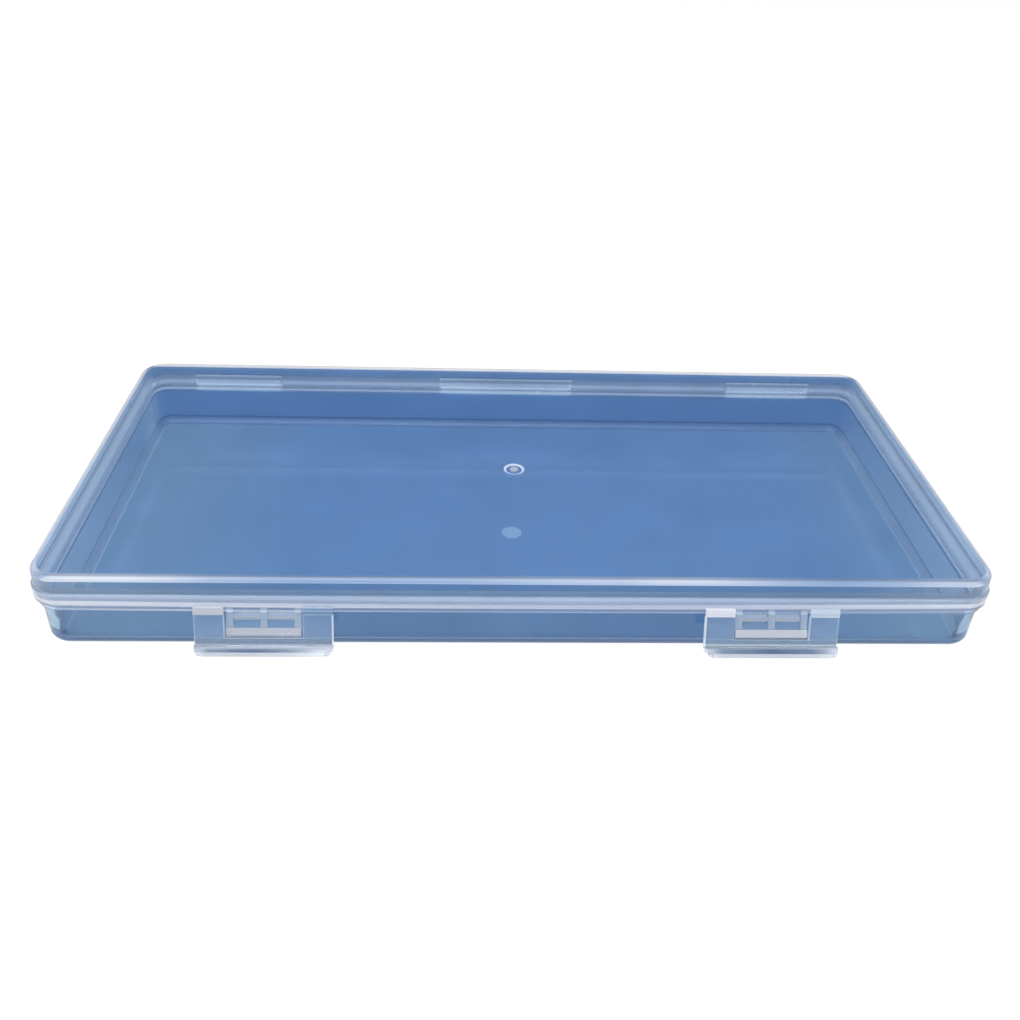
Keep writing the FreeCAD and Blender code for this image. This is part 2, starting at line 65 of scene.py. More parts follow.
# %% Camera
IMAGE_WIDTH = 1020
FOCAL_LENGTH_IN_PIXELS = 1055.0
SENSOR_WIDTH = 36.0
CAMERA_PLACE = Vector((-14.83, -253.09, 168.80)) * MM
CAMERA_DIP = math.radians(33.06)
CAMERA_TURN = math.radians(3.30)
CAMERA_ROLL = math.radians(2.34)


def camera_axes(dip, turn, roll):
    """Columns: the camera's right, its up and its back."""
    forward = Vector((math.sin(turn) * math.cos(dip), math.cos(turn) * math.cos(dip), -math.sin(dip)))
    right = Vector((math.cos(turn), -math.sin(turn), 0.0))
    up = right.cross(forward)
    return Matrix((right, up, -forward)).transposed() @ Matrix.Rotation(roll, 3, "Z")


bpy.ops.object.select_all(action="DESELECT")
axes = camera_axes(CAMERA_DIP, CAMERA_TURN, CAMERA_ROLL)
bpy.ops.object.camera_add(location=CAMERA_PLACE, rotation=axes.to_euler())
camera = bpy.context.object
camera.data.sensor_width = SENSOR_WIDTH
camera.data.lens = FOCAL_LENGTH_IN_PIXELS * SENSOR_WIDTH / IMAGE_WIDTH
bpy.context.scene.camera = camera
print("lens in mm:", round(camera.data.lens, 2))

# %% [markdown]
# Every finish of the box is a node material. Nodes are easier to read when each takes one line, so one
# helper adds a node with its settings and input values, and another starts an empty material.

# %% Node helpers


def add_node(tree, kind, values=None, **settings):
    """A node of that kind, with its settings and the values of its named inputs."""
    node = tree.nodes.new(kind)
    for name, value in settings.items():
        setattr(node, name, value)
    for name, value in (values or {}).items():
        node.inputs[name].default_value = value
    return node


def new_material(name):
    """An empty node material, its tree and its output node."""
    material = bpy.data.materials.new(name)
    material.use_nodes = True
    material.node_tree.nodes.clear()
    return material, material.node_tree, add_node(material.node_tree, "ShaderNodeOutputMaterial")


# %% [markdown]
# No moulded face is perfectly even. Hot plastic shrinks as it sets, which leaves slow waves in the
# surface, and the steel mould leaves patches that are a little duller or paler. Each material could have
# its own noise, but the pieces come from one mould, so the effect is made once, as a node group: a height
# for a bump, a roughness, and a cloud to multiply the colour with.

# %% Moulded surface group
moulding = bpy.data.node_groups.new("moulded_surface", "ShaderNodeTree")
moulding.interface.new_socket("Roughness", in_out="INPUT", socket_type="NodeSocketFloat")
moulding.interface.new_socket("Roughness", in_out="OUTPUT", socket_type="NodeSocketFloat")
moulding.interface.new_socket("Height", in_out="OUTPUT", socket_type="NodeSocketFloat")
moulding.interface.new_socket("Cloud", in_out="OUTPUT", socket_type="NodeSocketFloat")
link = moulding.links.new
group_input = add_node(moulding, "NodeGroupInput")
group_output = add_node(moulding, "NodeGroupOutput")
place = add_node(moulding, "ShaderNodeTexCoord")
waves = add_node(moulding, "ShaderNodeTexNoise", {"Scale": 45.0, "Detail": 1.0})
patches = add_node(moulding, "ShaderNodeTexNoise", {"Scale": 120.0, "Detail": 3.0})
spread = add_node(moulding, "ShaderNodeMapRange", {"To Min": 0.6, "To Max": 1.4})
scaled = add_node(moulding, "ShaderNodeMath", operation="MULTIPLY")
cloud = add_node(moulding, "ShaderNodeMapRange", {"To Min": 0.93, "To Max": 1.07})
link(place.outputs["Object"], waves.inputs["Vector"])
link(place.outputs["Object"], patches.inputs["Vector"])
link(patches.outputs["Fac"], spread.inputs["Value"])
link(spread.outputs["Result"], scaled.inputs[0])
link(group_input.outputs["Roughness"], scaled.inputs[1])
link(scaled.outputs[0], group_output.inputs["Roughness"])
link(waves.outputs["Fac"], group_output.inputs["Height"])
link(waves.outputs["Fac"], cloud.inputs["Value"])
link(cloud.outputs["Result"], group_output.inputs["Cloud"])
print("moulded surface group nodes:", len(moulding.nodes))

# %% [markdown]
# The cast of the plastic isn't the same all over the box: the walls are painted deeper towards the back, as
# painted shade, and the rims carry painted light and dark bands where their edges gather light and where
# they lie in shade.
# Both are a run of colours along one axis of the piece, so a painted picture isn't needed. A second group
# turns a place on the piece into a share from 0 to 1 along an axis. The bands along the front also bow a
# little, which may come from a warp of the long moulding or from the lens that it was seen through. So
# the group can bow the run: the share then falls behind with the square of the way along the box.

# %% Run group
run_group = bpy.data.node_groups.new("run_along_axis", "ShaderNodeTree")
run_group.interface.new_socket("Axis", in_out="INPUT", socket_type="NodeSocketVector")
run_group.interface.new_socket("Start", in_out="INPUT", socket_type="NodeSocketFloat")
run_group.interface.new_socket("End", in_out="INPUT", socket_type="NodeSocketFloat")
run_group.interface.new_socket("Bow", in_out="INPUT", socket_type="NodeSocketFloat")
run_group.interface.new_socket("Share", in_out="OUTPUT", socket_type="NodeSocketFloat")
link = run_group.links.new
group_input = add_node(run_group, "NodeGroupInput")
group_output = add_node(run_group, "NodeGroupOutput")
place = add_node(run_group, "ShaderNodeTexCoord")
along = add_node(run_group, "ShaderNodeVectorMath", operation="DOT_PRODUCT")
parts = add_node(run_group, "ShaderNodeSeparateXYZ")
square = add_node(run_group, "ShaderNodeMath", operation="MULTIPLY")
rise = add_node(run_group, "ShaderNodeMath", operation="MULTIPLY")
level = add_node(run_group, "ShaderNodeMath", operation="SUBTRACT")
share = add_node(run_group, "ShaderNodeMapRange")
link(place.outputs["Object"], along.inputs[0])
link(group_input.outputs["Axis"], along.inputs[1])
link(place.outputs["Object"], parts.inputs["Vector"])
link(parts.outputs["X"], square.inputs[0])
link(parts.outputs["X"], square.inputs[1])
link(square.outputs[0], rise.inputs[0])
link(group_input.outputs["Bow"], rise.inputs[1])
link(along.outputs["Value"], level.inputs[0])
link(rise.outputs[0], level.inputs[1])
link(level.outputs[0], share.inputs["Value"])
link(group_input.outputs["Start"], share.inputs["From Min"])
link(group_input.outputs["End"], share.inputs["From Max"])
link(share.outputs["Result"], group_output.inputs["Share"])
print("run group nodes:", len(run_group.nodes))

# %% [markdown]
# Each material lays its own colours on that share with a colour ramp. A stop of the ramp is a place in mm
# and a cast of the plastic. The alpha of the cast says how far a gleam, described below, may change it. A
# stretch with one value needs two stops, so a helper writes both.

# %% Runs of colour
SIDEWAYS, BACKWARDS, UPWARDS = (1.0, 0.0, 0.0), (0.0, 1.0, 0.0), (0.0, 0.0, 1.0)


def colour(red, green, blue, gleams=1.0):
    """A cast of the plastic, and how far a gleam may change it."""
    return (red, green, blue, gleams)


def band(start, end, value):
    """The two stops of a stretch that has one value."""
    return (start, value), (end, value)


def add_run(tree, axis, stops, bow=0.0):
    """A colour ramp laid along an axis. bow is in mm for each square mm along the box."""
    first, last = stops[0][0], stops[-1][0]
    run = add_node(tree, "ShaderNodeGroup", node_tree=run_group)
    run.inputs["Axis"].default_value = axis
    run.inputs["Start"].default_value = first * MM
    run.inputs["End"].default_value = last * MM
    run.inputs["Bow"].default_value = bow / MM
    ramp = add_node(tree, "ShaderNodeValToRGB")
    elements = ramp.color_ramp.elements
    elements[0].color, elements[1].color = stops[0][1], stops[-1][1]
    for place, value in stops[1:-1]:
        elements.new((place - first) / (last - first)).color = value
    tree.links.new(run.outputs["Share"], ramp.inputs["Fac"])
    return ramp


# %% [markdown]
# A gleam is a stretch along the length of the box where the cast differs: a lamp caught in a rounded
# edge, a mirrored wall, or a strap that shows through a rim. Splitting the faces there would leave hard
# ends, so it is a second run, from 0 to 1, that mixes the cast with the gleam's own cast and can fade.

# %% Gleams


def add_gleam(tree, cast, gleam, gleam_cast):
    """Mix the gleam's cast into a run, as far as the alpha of the run's stops lets it."""
    link = tree.links.new
    stretch = add_run(tree, SIDEWAYS, [(place, colour(share, share, share)) for place, share in gleam])
    amount = add_node(tree, "ShaderNodeMath", operation="MULTIPLY")
    blend = add_node(tree, "ShaderNodeMix", data_type="RGBA")
    blend.inputs["B"].default_value = gleam_cast
    link(stretch.outputs["Color"], amount.inputs[0])
    link(cast.outputs["Alpha"], amount.inputs[1])
    link(amount.outputs[0], blend.inputs["Factor"])
    link(cast.outputs["Color"], blend.inputs["A"])
    return blend.outputs["Result"]


# %% [markdown]
# The plastic itself. Light goes through it, so the Principled shader gets transmission, and a share of it
# is held back as haze, which is what makes the thin films and the edges look milky. A refracting shader
# would block the lamps, so for shadow rays and for light that bounces off the floor a Transparent shader
# stands in.

# %% Plastic material
PLASTIC_IOR = 1.49
WHITE = colour(1.0, 1.0, 1.0)
PASSING = colour(0.955, 0.965, 0.98)
RIPPLE = 0.06
RIPPLE_DEPTH = 0.05 * MM


def make_plastic(name, stops, haze, roughness, axis=UPWARDS, bow=0.0, gleam=None, gleam_cast=WHITE):
    """Clear plastic, with its cast laid along an axis and its gleam along the box."""
    material, tree, output = new_material(name)
    link = tree.links.new
    cast = add_run(tree, axis, stops, bow)
    cast_output = add_gleam(tree, cast, gleam, gleam_cast) if gleam else cast.outputs["Color"]
    surface = add_node(tree, "ShaderNodeGroup", {"Roughness": roughness}, node_tree=moulding)
    clouded = add_node(tree, "ShaderNodeVectorMath", operation="SCALE")
    bump = add_node(tree, "ShaderNodeBump", {"Strength": RIPPLE, "Distance": RIPPLE_DEPTH})
    shader = add_node(tree, "ShaderNodeBsdfPrincipled", {
        "IOR": PLASTIC_IOR,
        "Transmission Weight": 1.0 - haze,
    })
    passing = add_node(tree, "ShaderNodeBsdfTransparent", {"Color": PASSING})
    path = add_node(tree, "ShaderNodeLightPath")
    either = add_node(tree, "ShaderNodeMath", operation="MAXIMUM")
    mix = add_node(tree, "ShaderNodeMixShader")
    link(cast_output, clouded.inputs["Vector"])
    link(surface.outputs["Cloud"], clouded.inputs["Scale"])
    link(clouded.outputs["Vector"], shader.inputs["Base Color"])
    link(surface.outputs["Roughness"], shader.inputs["Roughness"])
    link(surface.outputs["Height"], bump.inputs["Height"])
    link(bump.outputs["Normal"], shader.inputs["Normal"])
    link(path.outputs["Is Shadow Ray"], either.inputs[0])
    link(path.outputs["Is Diffuse Ray"], either.inputs[1])
    link(either.outputs[0], mix.inputs["Fac"])
    link(shader.outputs[0], mix.inputs[1])
    link(passing.outputs[0], mix.inputs[2])
    link(mix.outputs[0], output.inputs["Surface"])
    print(name, "nodes:", len(tree.nodes))
    return material


# %% [markdown]
# Large clear faces: the lid's roof, the tray's floor and its wall, and the lid's skirt. One cast for the
# whole box would be simpler, but the walls stand in front of each other and mirror different things, so
# each has its own, and each cast is partly painted light and shade, set to what the face mirrors and what
# shows through it. Each of a wall's two faces tints the light by the root of the cast, so a wall shows the
# cast itself. The floor's gleam paints it paler towards the ends of the box, painted light.

# %% Roof and floor
ROOF = make_plastic("roof_plastic", (
    (-57.0, colour(0.53, 0.665, 0.84)),
    (57.0, colour(0.51, 0.66, 0.85)),
), haze=0.02, roughness=0.03, axis=BACKWARDS)
# Painted light: the floor's gleam makes it paler towards the two ends of the box.
FLOOR = make_plastic("floor_plastic", (
    (-57.0, colour(0.235, 0.41, 0.665)),
    (57.0, colour(0.22, 0.40, 0.68)),
), haze=0.02, roughness=0.05, axis=BACKWARDS, gleam=(
    (-115.0, 1.0), (-90.0, 0.8), *band(-55.0, 80.0, 0.0), (102.0, 0.6), (115.0, 0.7),
), gleam_cast=colour(0.30, 0.46, 0.64))

# %% [markdown]
# The tray's wall is painted palest along the front of its sides and deepest at the back, as painted light
# and shade, and its gleam paints paler stretches along the box, painted light. The skirt is tinted on its
# outer face alone, because the straps have to show through its inner face, which is left clear. Its cast is
# painted paler along the sides and darker at the front and the back, as painted light and shade, and its
# gleam paints the front paler towards the two ends, painted light.

# %% Wall and skirt
WALL = make_plastic("wall_plastic", (
    (-55.0, colour(0.244, 0.385, 0.54)),
    (-49.0, colour(0.215, 0.32, 0.47, 0.3)),
    (-45.0, colour(0.38, 0.50, 0.65, 0.0)),
    (30.0, colour(0.238, 0.367, 0.579, 0.0)),
    (45.0, colour(0.21, 0.34, 0.565, 0.85)),
    (54.0, colour(0.105, 0.243, 0.49, 0.0)),
), haze=0.02, roughness=0.05, axis=BACKWARDS, gleam=(
    *band(-115.0, -110.5, 1.0), (-109.0, 0.1), *band(-105.0, -90.0, 0.7), (-45.0, 0.45),
    *band(-35.0, -15.0, 0.2), (-3.0, 0.5), (5.0, 0.25), (20.0, 0.05), (40.0, 0.0), (75.0, 0.6),
    *band(95.0, 105.0, 1.0), *band(110.0, 115.0, 0.0),
), gleam_cast=colour(0.38, 0.53, 0.645))
SKIRT = make_plastic("skirt_plastic", (
    (-57.0, colour(0.082, 0.203, 0.384)),
    (-45.0, colour(0.30, 0.41, 0.575, 0.0)),
    (45.0, colour(0.17, 0.27, 0.42, 0.0)),
    (56.0, colour(0.016, 0.067, 0.225, 0.0)),
), haze=0.03, roughness=0.05, axis=BACKWARDS, gleam=(
    (-115.0, 1.0), (-102.0, 0.48), (-82.0, 0.2), *band(-60.0, 80.0, 0.0), (90.0, 0.37), (115.0, 0.7),
), gleam_cast=colour(0.29, 0.385, 0.50))
LID_TOP = 21.6
CLEAR = make_plastic("clear_plastic", (
    (0.0, colour(0.97, 0.98, 1.0)),
    (LID_TOP, colour(0.95, 0.97, 1.0)),
), haze=0.03, roughness=0.05)

# %% [markdown]
# Edges. A rounded edge of clear plastic bends so much light that it looks pale. A sharper mesh and more
# bounces of light could show that, but with much noise, so these faces are given more haze instead. The
# top edge of the lid carries a bright line with lamps caught in it, and the foot of the tray is dark,
# because it looks down.

# %% Edges
EDGE = make_plastic("edge_plastic", (
    (0.0, colour(0.88, 0.93, 0.98)),
    (LID_TOP, colour(0.84, 0.91, 0.98)),
), haze=0.25, roughness=0.12)
# The lip's top is painted pale where it faces up into the light and darker along its front edge, painted
# light and shade.
LIP_TOP = make_plastic("lip_top_plastic", (
    *band(-56.0, -54.0, colour(0.42, 0.47, 0.57)),
    (-48.0, colour(0.90, 0.94, 1.0)),
    (48.0, colour(0.96, 0.98, 1.0)),
    (55.0, colour(0.60, 0.70, 0.90)),
), haze=0.5, roughness=0.15, axis=BACKWARDS)
FOOT = make_plastic("foot_plastic", (
    *band(-56.0, -52.0, colour(0.085, 0.18, 0.36)),
    (-48.0, colour(0.20, 0.31, 0.49)),
    (45.0, colour(0.17, 0.29, 0.48)),
    (52.0, colour(0.05, 0.14, 0.33)),
    (56.0, colour(0.04, 0.122, 0.31)),
), haze=0.6, roughness=0.2, axis=BACKWARDS)
CREST = make_plastic("crest_plastic", (
    (-57.5, colour(0.20, 0.32, 0.55, 0.3)),
    (-57.3, colour(0.24, 0.36, 0.58, 0.3)),
    (-57.1, colour(0.36, 0.48, 0.70, 0.6)),
    (-56.85, colour(0.42, 0.565, 0.77, 0.95)),
    (-56.6, colour(0.37, 0.51, 0.73, 0.8)),
    (-56.3, colour(0.25, 0.37, 0.60, 0.4)),
    *band(-55.9, -55.6, colour(0.15, 0.27, 0.50, 0.3)),
    (-54.0, colour(0.55, 0.64, 0.78, 0.0)),
    (-48.0, colour(0.76, 0.81, 0.91, 0.0)),
    (50.0, colour(0.80, 0.83, 0.90, 0.0)),
    (53.5, colour(0.70, 0.76, 0.88, 0.0)),
    *band(54.5, 57.5, colour(1.0, 1.0, 1.0, 0.0)),
), haze=0.5, roughness=0.2, axis=BACKWARDS, gleam=(
    (-115.0, 0.6), *band(-104.0, -92.0, 1.0), (-82.0, 0.8), (-73.0, 0.34), (-55.0, 0.04), (-15.0, 0.12),
    (5.0, 0.4), (24.0, 0.52), *band(33.0, 43.0, 0.85), (52.0, 0.6), (62.0, 0.3), (75.0, 0.05), (88.0, 0.2),
    (100.0, 0.57), (115.0, 0.7),
))

# %% [markdown]
# Rims. The lid's bead and the tray's flange are thick, and their light and dark bands along the rim are
# painted light and shade: bright lines where their rounded edges catch the light, and dark bands in the
# shade of the gap under the bead. They are laid on by height. The bands climb towards the ends of the box
# and a little more to the right, so the run slopes and bows. The gleams paint the rims paler towards the
# ends of the box, painted light.

# %% Front and side rims
RIM_SLOPE = (-0.0015, 0.0, 1.0)
RIM_BOW = 0.000055
RIM = make_plastic("rim_plastic", (
    *band(12.4, 13.3, colour(0.31, 0.38, 0.52, 0.0)),
    *band(13.5, 14.4, colour(0.66, 0.72, 0.84)),
    *band(14.8, 15.4, colour(0.30, 0.35, 0.47, 0.0)),
    *band(15.8, 16.5, colour(0.44, 0.53, 0.69, 0.0)),
    (16.8, colour(0.22, 0.31, 0.46, 0.0)),
), haze=0.35, roughness=0.15, axis=RIM_SLOPE, bow=RIM_BOW, gleam=(
    (-115.0, 0.9), (-80.0, 0.8), (-45.0, 0.4), *band(-5.0, 25.0, 0.0), (60.0, 0.3), *band(90.0, 115.0, 0.6),
))
FLANGE = make_plastic("flange_plastic", (
    *band(10.8, 11.3, colour(0.22, 0.35, 0.54, 0.0)),
    *band(11.45, 11.85, colour(0.52, 0.61, 0.78)),
    *band(12.05, 13.2, colour(0.31, 0.38, 0.52, 0.0)),
), haze=0.35, roughness=0.15, axis=RIM_SLOPE, bow=RIM_BOW, gleam=(
    (-115.0, 0.3), (-85.0, 0.6), (-70.0, 0.8), (-45.0, 0.3), *band(-10.0, 115.0, 0.0),
))

# %% [markdown]
# At the back the rims are seen through the lid, and the straps through the rims. So the painted bands are
# deeper there, painted shade with little haze, and a gleam paints them white over each strap, where the
# strap shows through. Where the straps lie is read from their solids.

# %% Rear rims
HALF_LENGTH = 115.0
STRAP_MARGIN, STRAP_CLEAR = 0.4, 0.1
over_straps = [(-HALF_LENGTH, 0.0)]
for node in ("rear_hinge_left", "rear_hinge_middle", "rear_hinge_right"):
    places = [vertex.co.x / MM for vertex in frame["nodes"][node].data.vertices]
    left, right = min(places), max(places)
    over_straps += [(left - STRAP_MARGIN, 0.0), *band(left + STRAP_CLEAR, right - STRAP_CLEAR, 1.0)]
    over_straps += [(right + STRAP_MARGIN, 0.0)]
    print(node, "from", round(left, 1), "to", round(right, 1), "mm")
over_straps += [(HALF_LENGTH, 0.0)]
REAR_RIM = make_plastic("rear_rim_plastic", (
    *band(11.4, 12.6, colour(0.33, 0.385, 0.53)),
    *band(13.0, 13.7, colour(0.075, 0.114, 0.22)),
    *band(14.1, 15.0, colour(0.36, 0.41, 0.55)),
    *band(15.6, 16.8, colour(0.043, 0.095, 0.223)),
), haze=0.05, roughness=0.1, gleam=over_straps)

# %% [markdown]
# The moulding marks are where the hot plastic came in and was torn off, which leaves it white and rough.
# So they have the most haze. The ends of the flaps that look to the middle are painted a little whiter than
# other edges, a painted highlight where those end faces catch the light.

# %% Marks, and the flap ends' painted highlight
GATE = make_plastic("gate_plastic", (
    (0.0, colour(0.92, 0.94, 0.97)),
    (LID_TOP, colour(0.72, 0.77, 0.89)),
), haze=0.8, roughness=0.25)
FLAP_END_HIGHLIGHT = make_plastic("flap_end_highlight_plastic", (
    (0.0, colour(0.80, 0.87, 0.96)),
    (LID_TOP, colour(0.95, 0.97, 1.0)),
), haze=0.6, roughness=0.2)

# %% [markdown]
# Flaps. They are thin and clear. Low on the front of a flap's plate, and on the bar that hooks under the
# catch, less of the white room shows, so both are darker. One material for the whole flap couldn't show
# that, so the plate's front and the bar have their own. The right flap catches more light than the left
# one, and a gleam that covers the right half of the box alone makes it paler.

# %% Flap plates
RIGHT_FLAP_GLEAM = (*band(-77.0, -43.0, 0.0), *band(43.0, 77.0, 1.0))
LATCH = make_plastic("latch_plastic", (
    (4.0, colour(0.63, 0.78, 0.91)),
    (14.0, colour(0.61, 0.76, 0.90)),
), haze=0.10, roughness=0.08)
PLATE = make_plastic("plate_plastic", (
    *band(5.0, 5.92, colour(0.11, 0.14, 0.23)),
    (6.04, colour(0.63, 0.78, 0.91, 0.0)),
    (14.0, colour(0.61, 0.76, 0.90, 0.0)),
), haze=0.10, roughness=0.08, gleam=RIGHT_FLAP_GLEAM, gleam_cast=colour(0.30, 0.35, 0.42))
HOOK = make_plastic("hook_plastic", (
    *band(6.0, 8.0, colour(0.21, 0.25, 0.33)),
), haze=0.15, roughness=0.10)

# %% [markdown]
# The finger lip stands out at the foot of a flap. Its top is painted light where it leaves the plate and
# dark towards its edge, painted light and shade, and a gleam takes the painted dark away again at the lip's
# two ends. The line between light and dark slants a little along the box, as the light falls from the left.
# The lip's front edge is hazy, and painted grey for the shade on it, with a gleam that paints it paler at
# the lip's ends, so it has a finish of its own.

# %% Finger lips
LIP_SLANT = (-0.005, 1.0, 0.0)
LIP_GLEAM = (
    (-77.0, 0.9), (-75.0, 0.7), (-73.0, 0.2), (-62.0, 0.0), (-55.0, 0.2), (-51.0, 0.5), (-47.0, 0.9),
    (-44.0, 1.0), (44.0, 0.9), (46.0, 0.6), (48.0, 0.2), (60.0, 0.0), (70.0, 0.1), (73.0, 0.4),
    (75.0, 0.8), (77.0, 0.9),
)
LIP = make_plastic("lip_plastic", (
    *band(-64.5, -62.57, colour(0.12, 0.185, 0.30)),
    *band(-62.07, -61.0, colour(0.55, 0.59, 0.67, 0.0)),
), haze=0.25, roughness=0.10, axis=LIP_SLANT, gleam=LIP_GLEAM, gleam_cast=colour(0.75, 0.80, 0.87))
LIP_EDGE = make_plastic("lip_edge_plastic", (
    *band(4.0, 6.0, colour(0.62, 0.65, 0.71)),
), haze=0.6, roughness=0.2, gleam=LIP_GLEAM, gleam_cast=colour(0.86, 0.90, 0.97))

# %% [markdown]
# Films and straps were stretched when the box first opened, which whitens this plastic, and so does the
# wear on the nose of a catch. They carry much haze, so that light lies on them instead of going through. On
# top of that whitening, a gleam paints the right flap's film and the right catch's nose paler, painted
# light.

# %% Films, noses and straps
FROST_AND_PAINTED_LIGHT = make_plastic("frost_and_painted_light_plastic", (
    *band(7.0, 14.0, colour(0.62, 0.63, 0.70)),
), haze=0.45, roughness=0.25, gleam=RIGHT_FLAP_GLEAM, gleam_cast=colour(0.80, 0.81, 0.87))
# The straps are painted whitest along their lower half, which faces up into the light: painted light on top
# of the whitening.
STRAP = make_plastic("strap_plastic", (
    (12.2, colour(1.0, 1.0, 1.0)),
    (14.0, colour(0.98, 0.99, 1.0)),
    *band(14.8, 16.3, colour(0.82, 0.88, 0.96)),
), haze=0.45, roughness=0.25)

# %% [markdown]
# The pieces keep the shapes of their solids, so each solid is copied rather than modelled again. Its
# loose triangles are merged, and its rounded edges are shaded smooth. The weighted normals keep the large
# flat faces flat where a small rounding meets them.

# %% Copies of the solids
JOIN_DISTANCE = 0.002 * MM
SHARP_ANGLE = math.radians(28)


def copy_solid(node, name):
    """A merged copy of a solid, as a mesh of its own, selected and active."""
    bpy.ops.object.select_all(action="DESELECT")
    piece = bpy.data.objects.new(name, frame["nodes"][node].data.copy())
    bpy.context.scene.collection.objects.link(piece)
    piece.select_set(True)
    bpy.context.view_layer.objects.active = piece
    if piece.data.has_custom_normals:
        bpy.ops.mesh.customdata_custom_splitnormals_clear()
    bpy.ops.object.mode_set(mode="EDIT")
    bpy.ops.mesh.select_all(action="SELECT")
    bpy.ops.mesh.remove_doubles(threshold=JOIN_DISTANCE)
    bpy.ops.object.mode_set(mode="OBJECT")
    return piece


def smooth(piece):
    """Shade the rounded edges smooth and the flat faces flat."""
    bpy.ops.object.shade_smooth_by_angle(angle=SHARP_ANGLE)
    bpy.ops.object.modifier_add(type="WEIGHTED_NORMAL")
    piece.modifiers[-1].keep_sharp = True
    bpy.ops.object.modifier_apply(modifier=piece.modifiers[-1].name)


def corners_of(piece, part):
    """The corners of a face or an edge, in mm."""
    return [piece.data.vertices[i].co / MM for i in part.vertices]


def finish_piece(piece, node, pick):
    """Give every face the material that pick returns, and hide the solid that the piece stands in for."""
    piece.data.materials.clear()
    used = []
    for face in piece.data.polygons:
        material = pick(face.normal, corners_of(piece, face))
        if material not in used:
            used.append(material)
            piece.data.materials.append(material)
        face.material_index = used.index(material)
    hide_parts(node)
    print(piece.name, len(piece.data.polygons), "faces:", [material.name for material in used])


# %% [markdown]
# Which finish a face gets depends on where it lies and which way it looks. Faces could be listed by
# number, but a number means nothing once a size changes, so a few helpers measure a face: what it spans
# along an axis, how far inside the rim's outline it lies, and how far it is from a moulding mark. All
# sizes are the box's, in mm.

# %% Measuring a face
X, Y, Z = range(3)
HALF_DEPTH, RIM_CORNER = 57.5, 7.5
CLOSE = 0.05
# How squarely a face looks along an axis, from 0 for not at all to 1 for exactly
EXACTLY, MOSTLY, MAINLY, HALFWAY, PARTLY, SLIGHTLY = 0.999, 0.9, 0.7, 0.5, 0.3, 0.2


def span(corners, axis):
    """Where the face begins and ends along an axis."""
    places = [corner[axis] for corner in corners]
    return min(places), max(places)


def insets(corners):
    """How far inside the rim's outline, with its round corners, the face begins and ends."""
    depths = []
    for corner in corners:
        over_x = abs(corner.x) - HALF_LENGTH + RIM_CORNER
        over_y = abs(corner.y) - HALF_DEPTH + RIM_CORNER
        if over_x > 0.0 and over_y > 0.0:
            depths.append(RIM_CORNER - math.hypot(over_x, over_y))
        else:
            depths.append(RIM_CORNER - max(over_x, over_y))
    return min(depths), max(depths)


def reaches(corners, mark):
    """How near and how far the face's corners lie from the middle of a round mark."""
    distances = [(corner.xy - mark).length for corner in corners]
    return min(distances), max(distances)


# %% [markdown]
# The tray, from its lip down: the lip's top, the lip itself, the flange, the window in the rear wall
# through which the rear rims show, the roundings at the foot, the floor and the wall.

# %% Zones of the tray
FLANGE_FOOT, PARTING, LIP_LEVEL = 11.5, 13.2, 16.4
LIP_INSET = 1.3
WINDOW_FOOT = 12.9
FOOT_TOP, FLOOR_TOP = 3.2, 2.0
CORNER_START = HALF_DEPTH - RIM_CORNER
MARK_RADIUS = 2.8
TRAY_MARK = Vector((0.0, -8.0))


def tray_zone(normal, corners):
    """The finish of a face of the tray."""
    low, high = span(corners, Z)
    front, back = span(corners, Y)
    begins = insets(corners)[0]
    at_rear = front > CORNER_START - CLOSE
    if reaches(corners, TRAY_MARK)[1] < MARK_RADIUS + CLOSE:
        return GATE
    if low > LIP_LEVEL - CLOSE:
        return LIP_TOP
    if low > PARTING - CLOSE and begins > LIP_INSET:
        return CLEAR if at_rear else EDGE
    if low > FLANGE_FOOT - CLOSE and high < PARTING + CLOSE and begins < LIP_INSET:
        return REAR_RIM if normal.y > MAINLY else FLANGE
    if at_rear and low > WINDOW_FOOT - CLOSE:
        return CLEAR
    if high < FOOT_TOP and abs(normal.z) < EXACTLY:
        if normal.z < 0.0:
            return FOOT
        return WALL if back < -CORNER_START else CLEAR
    return FLOOR if high < FLOOR_TOP else WALL


# %% [markdown]
# The lid: its moulding mark, the flat roof with a band along its edge and a strip at the back that are
# painted paler, a painted highlight, the bead around its foot, the rounded top edge, and the skirt between
# them.

# %% Zones of the lid
ROOF_FOOT, BEAD_TOP, LID_FOOT = 20.0, 16.75, 13.4
BEAD_INSET, SKIRT_INSET = 0.5, 0.95
TOP_ROUND, EDGE_BAND, REAR_BAND, FRONT_BAND = 1.5, 0.6, 53.5, -55.0
MARK_DEPTH, RING_WIDTH, NUB_RADIUS = 0.3, 0.6, 1.1
LID_MARK = Vector((0.0, -6.8))


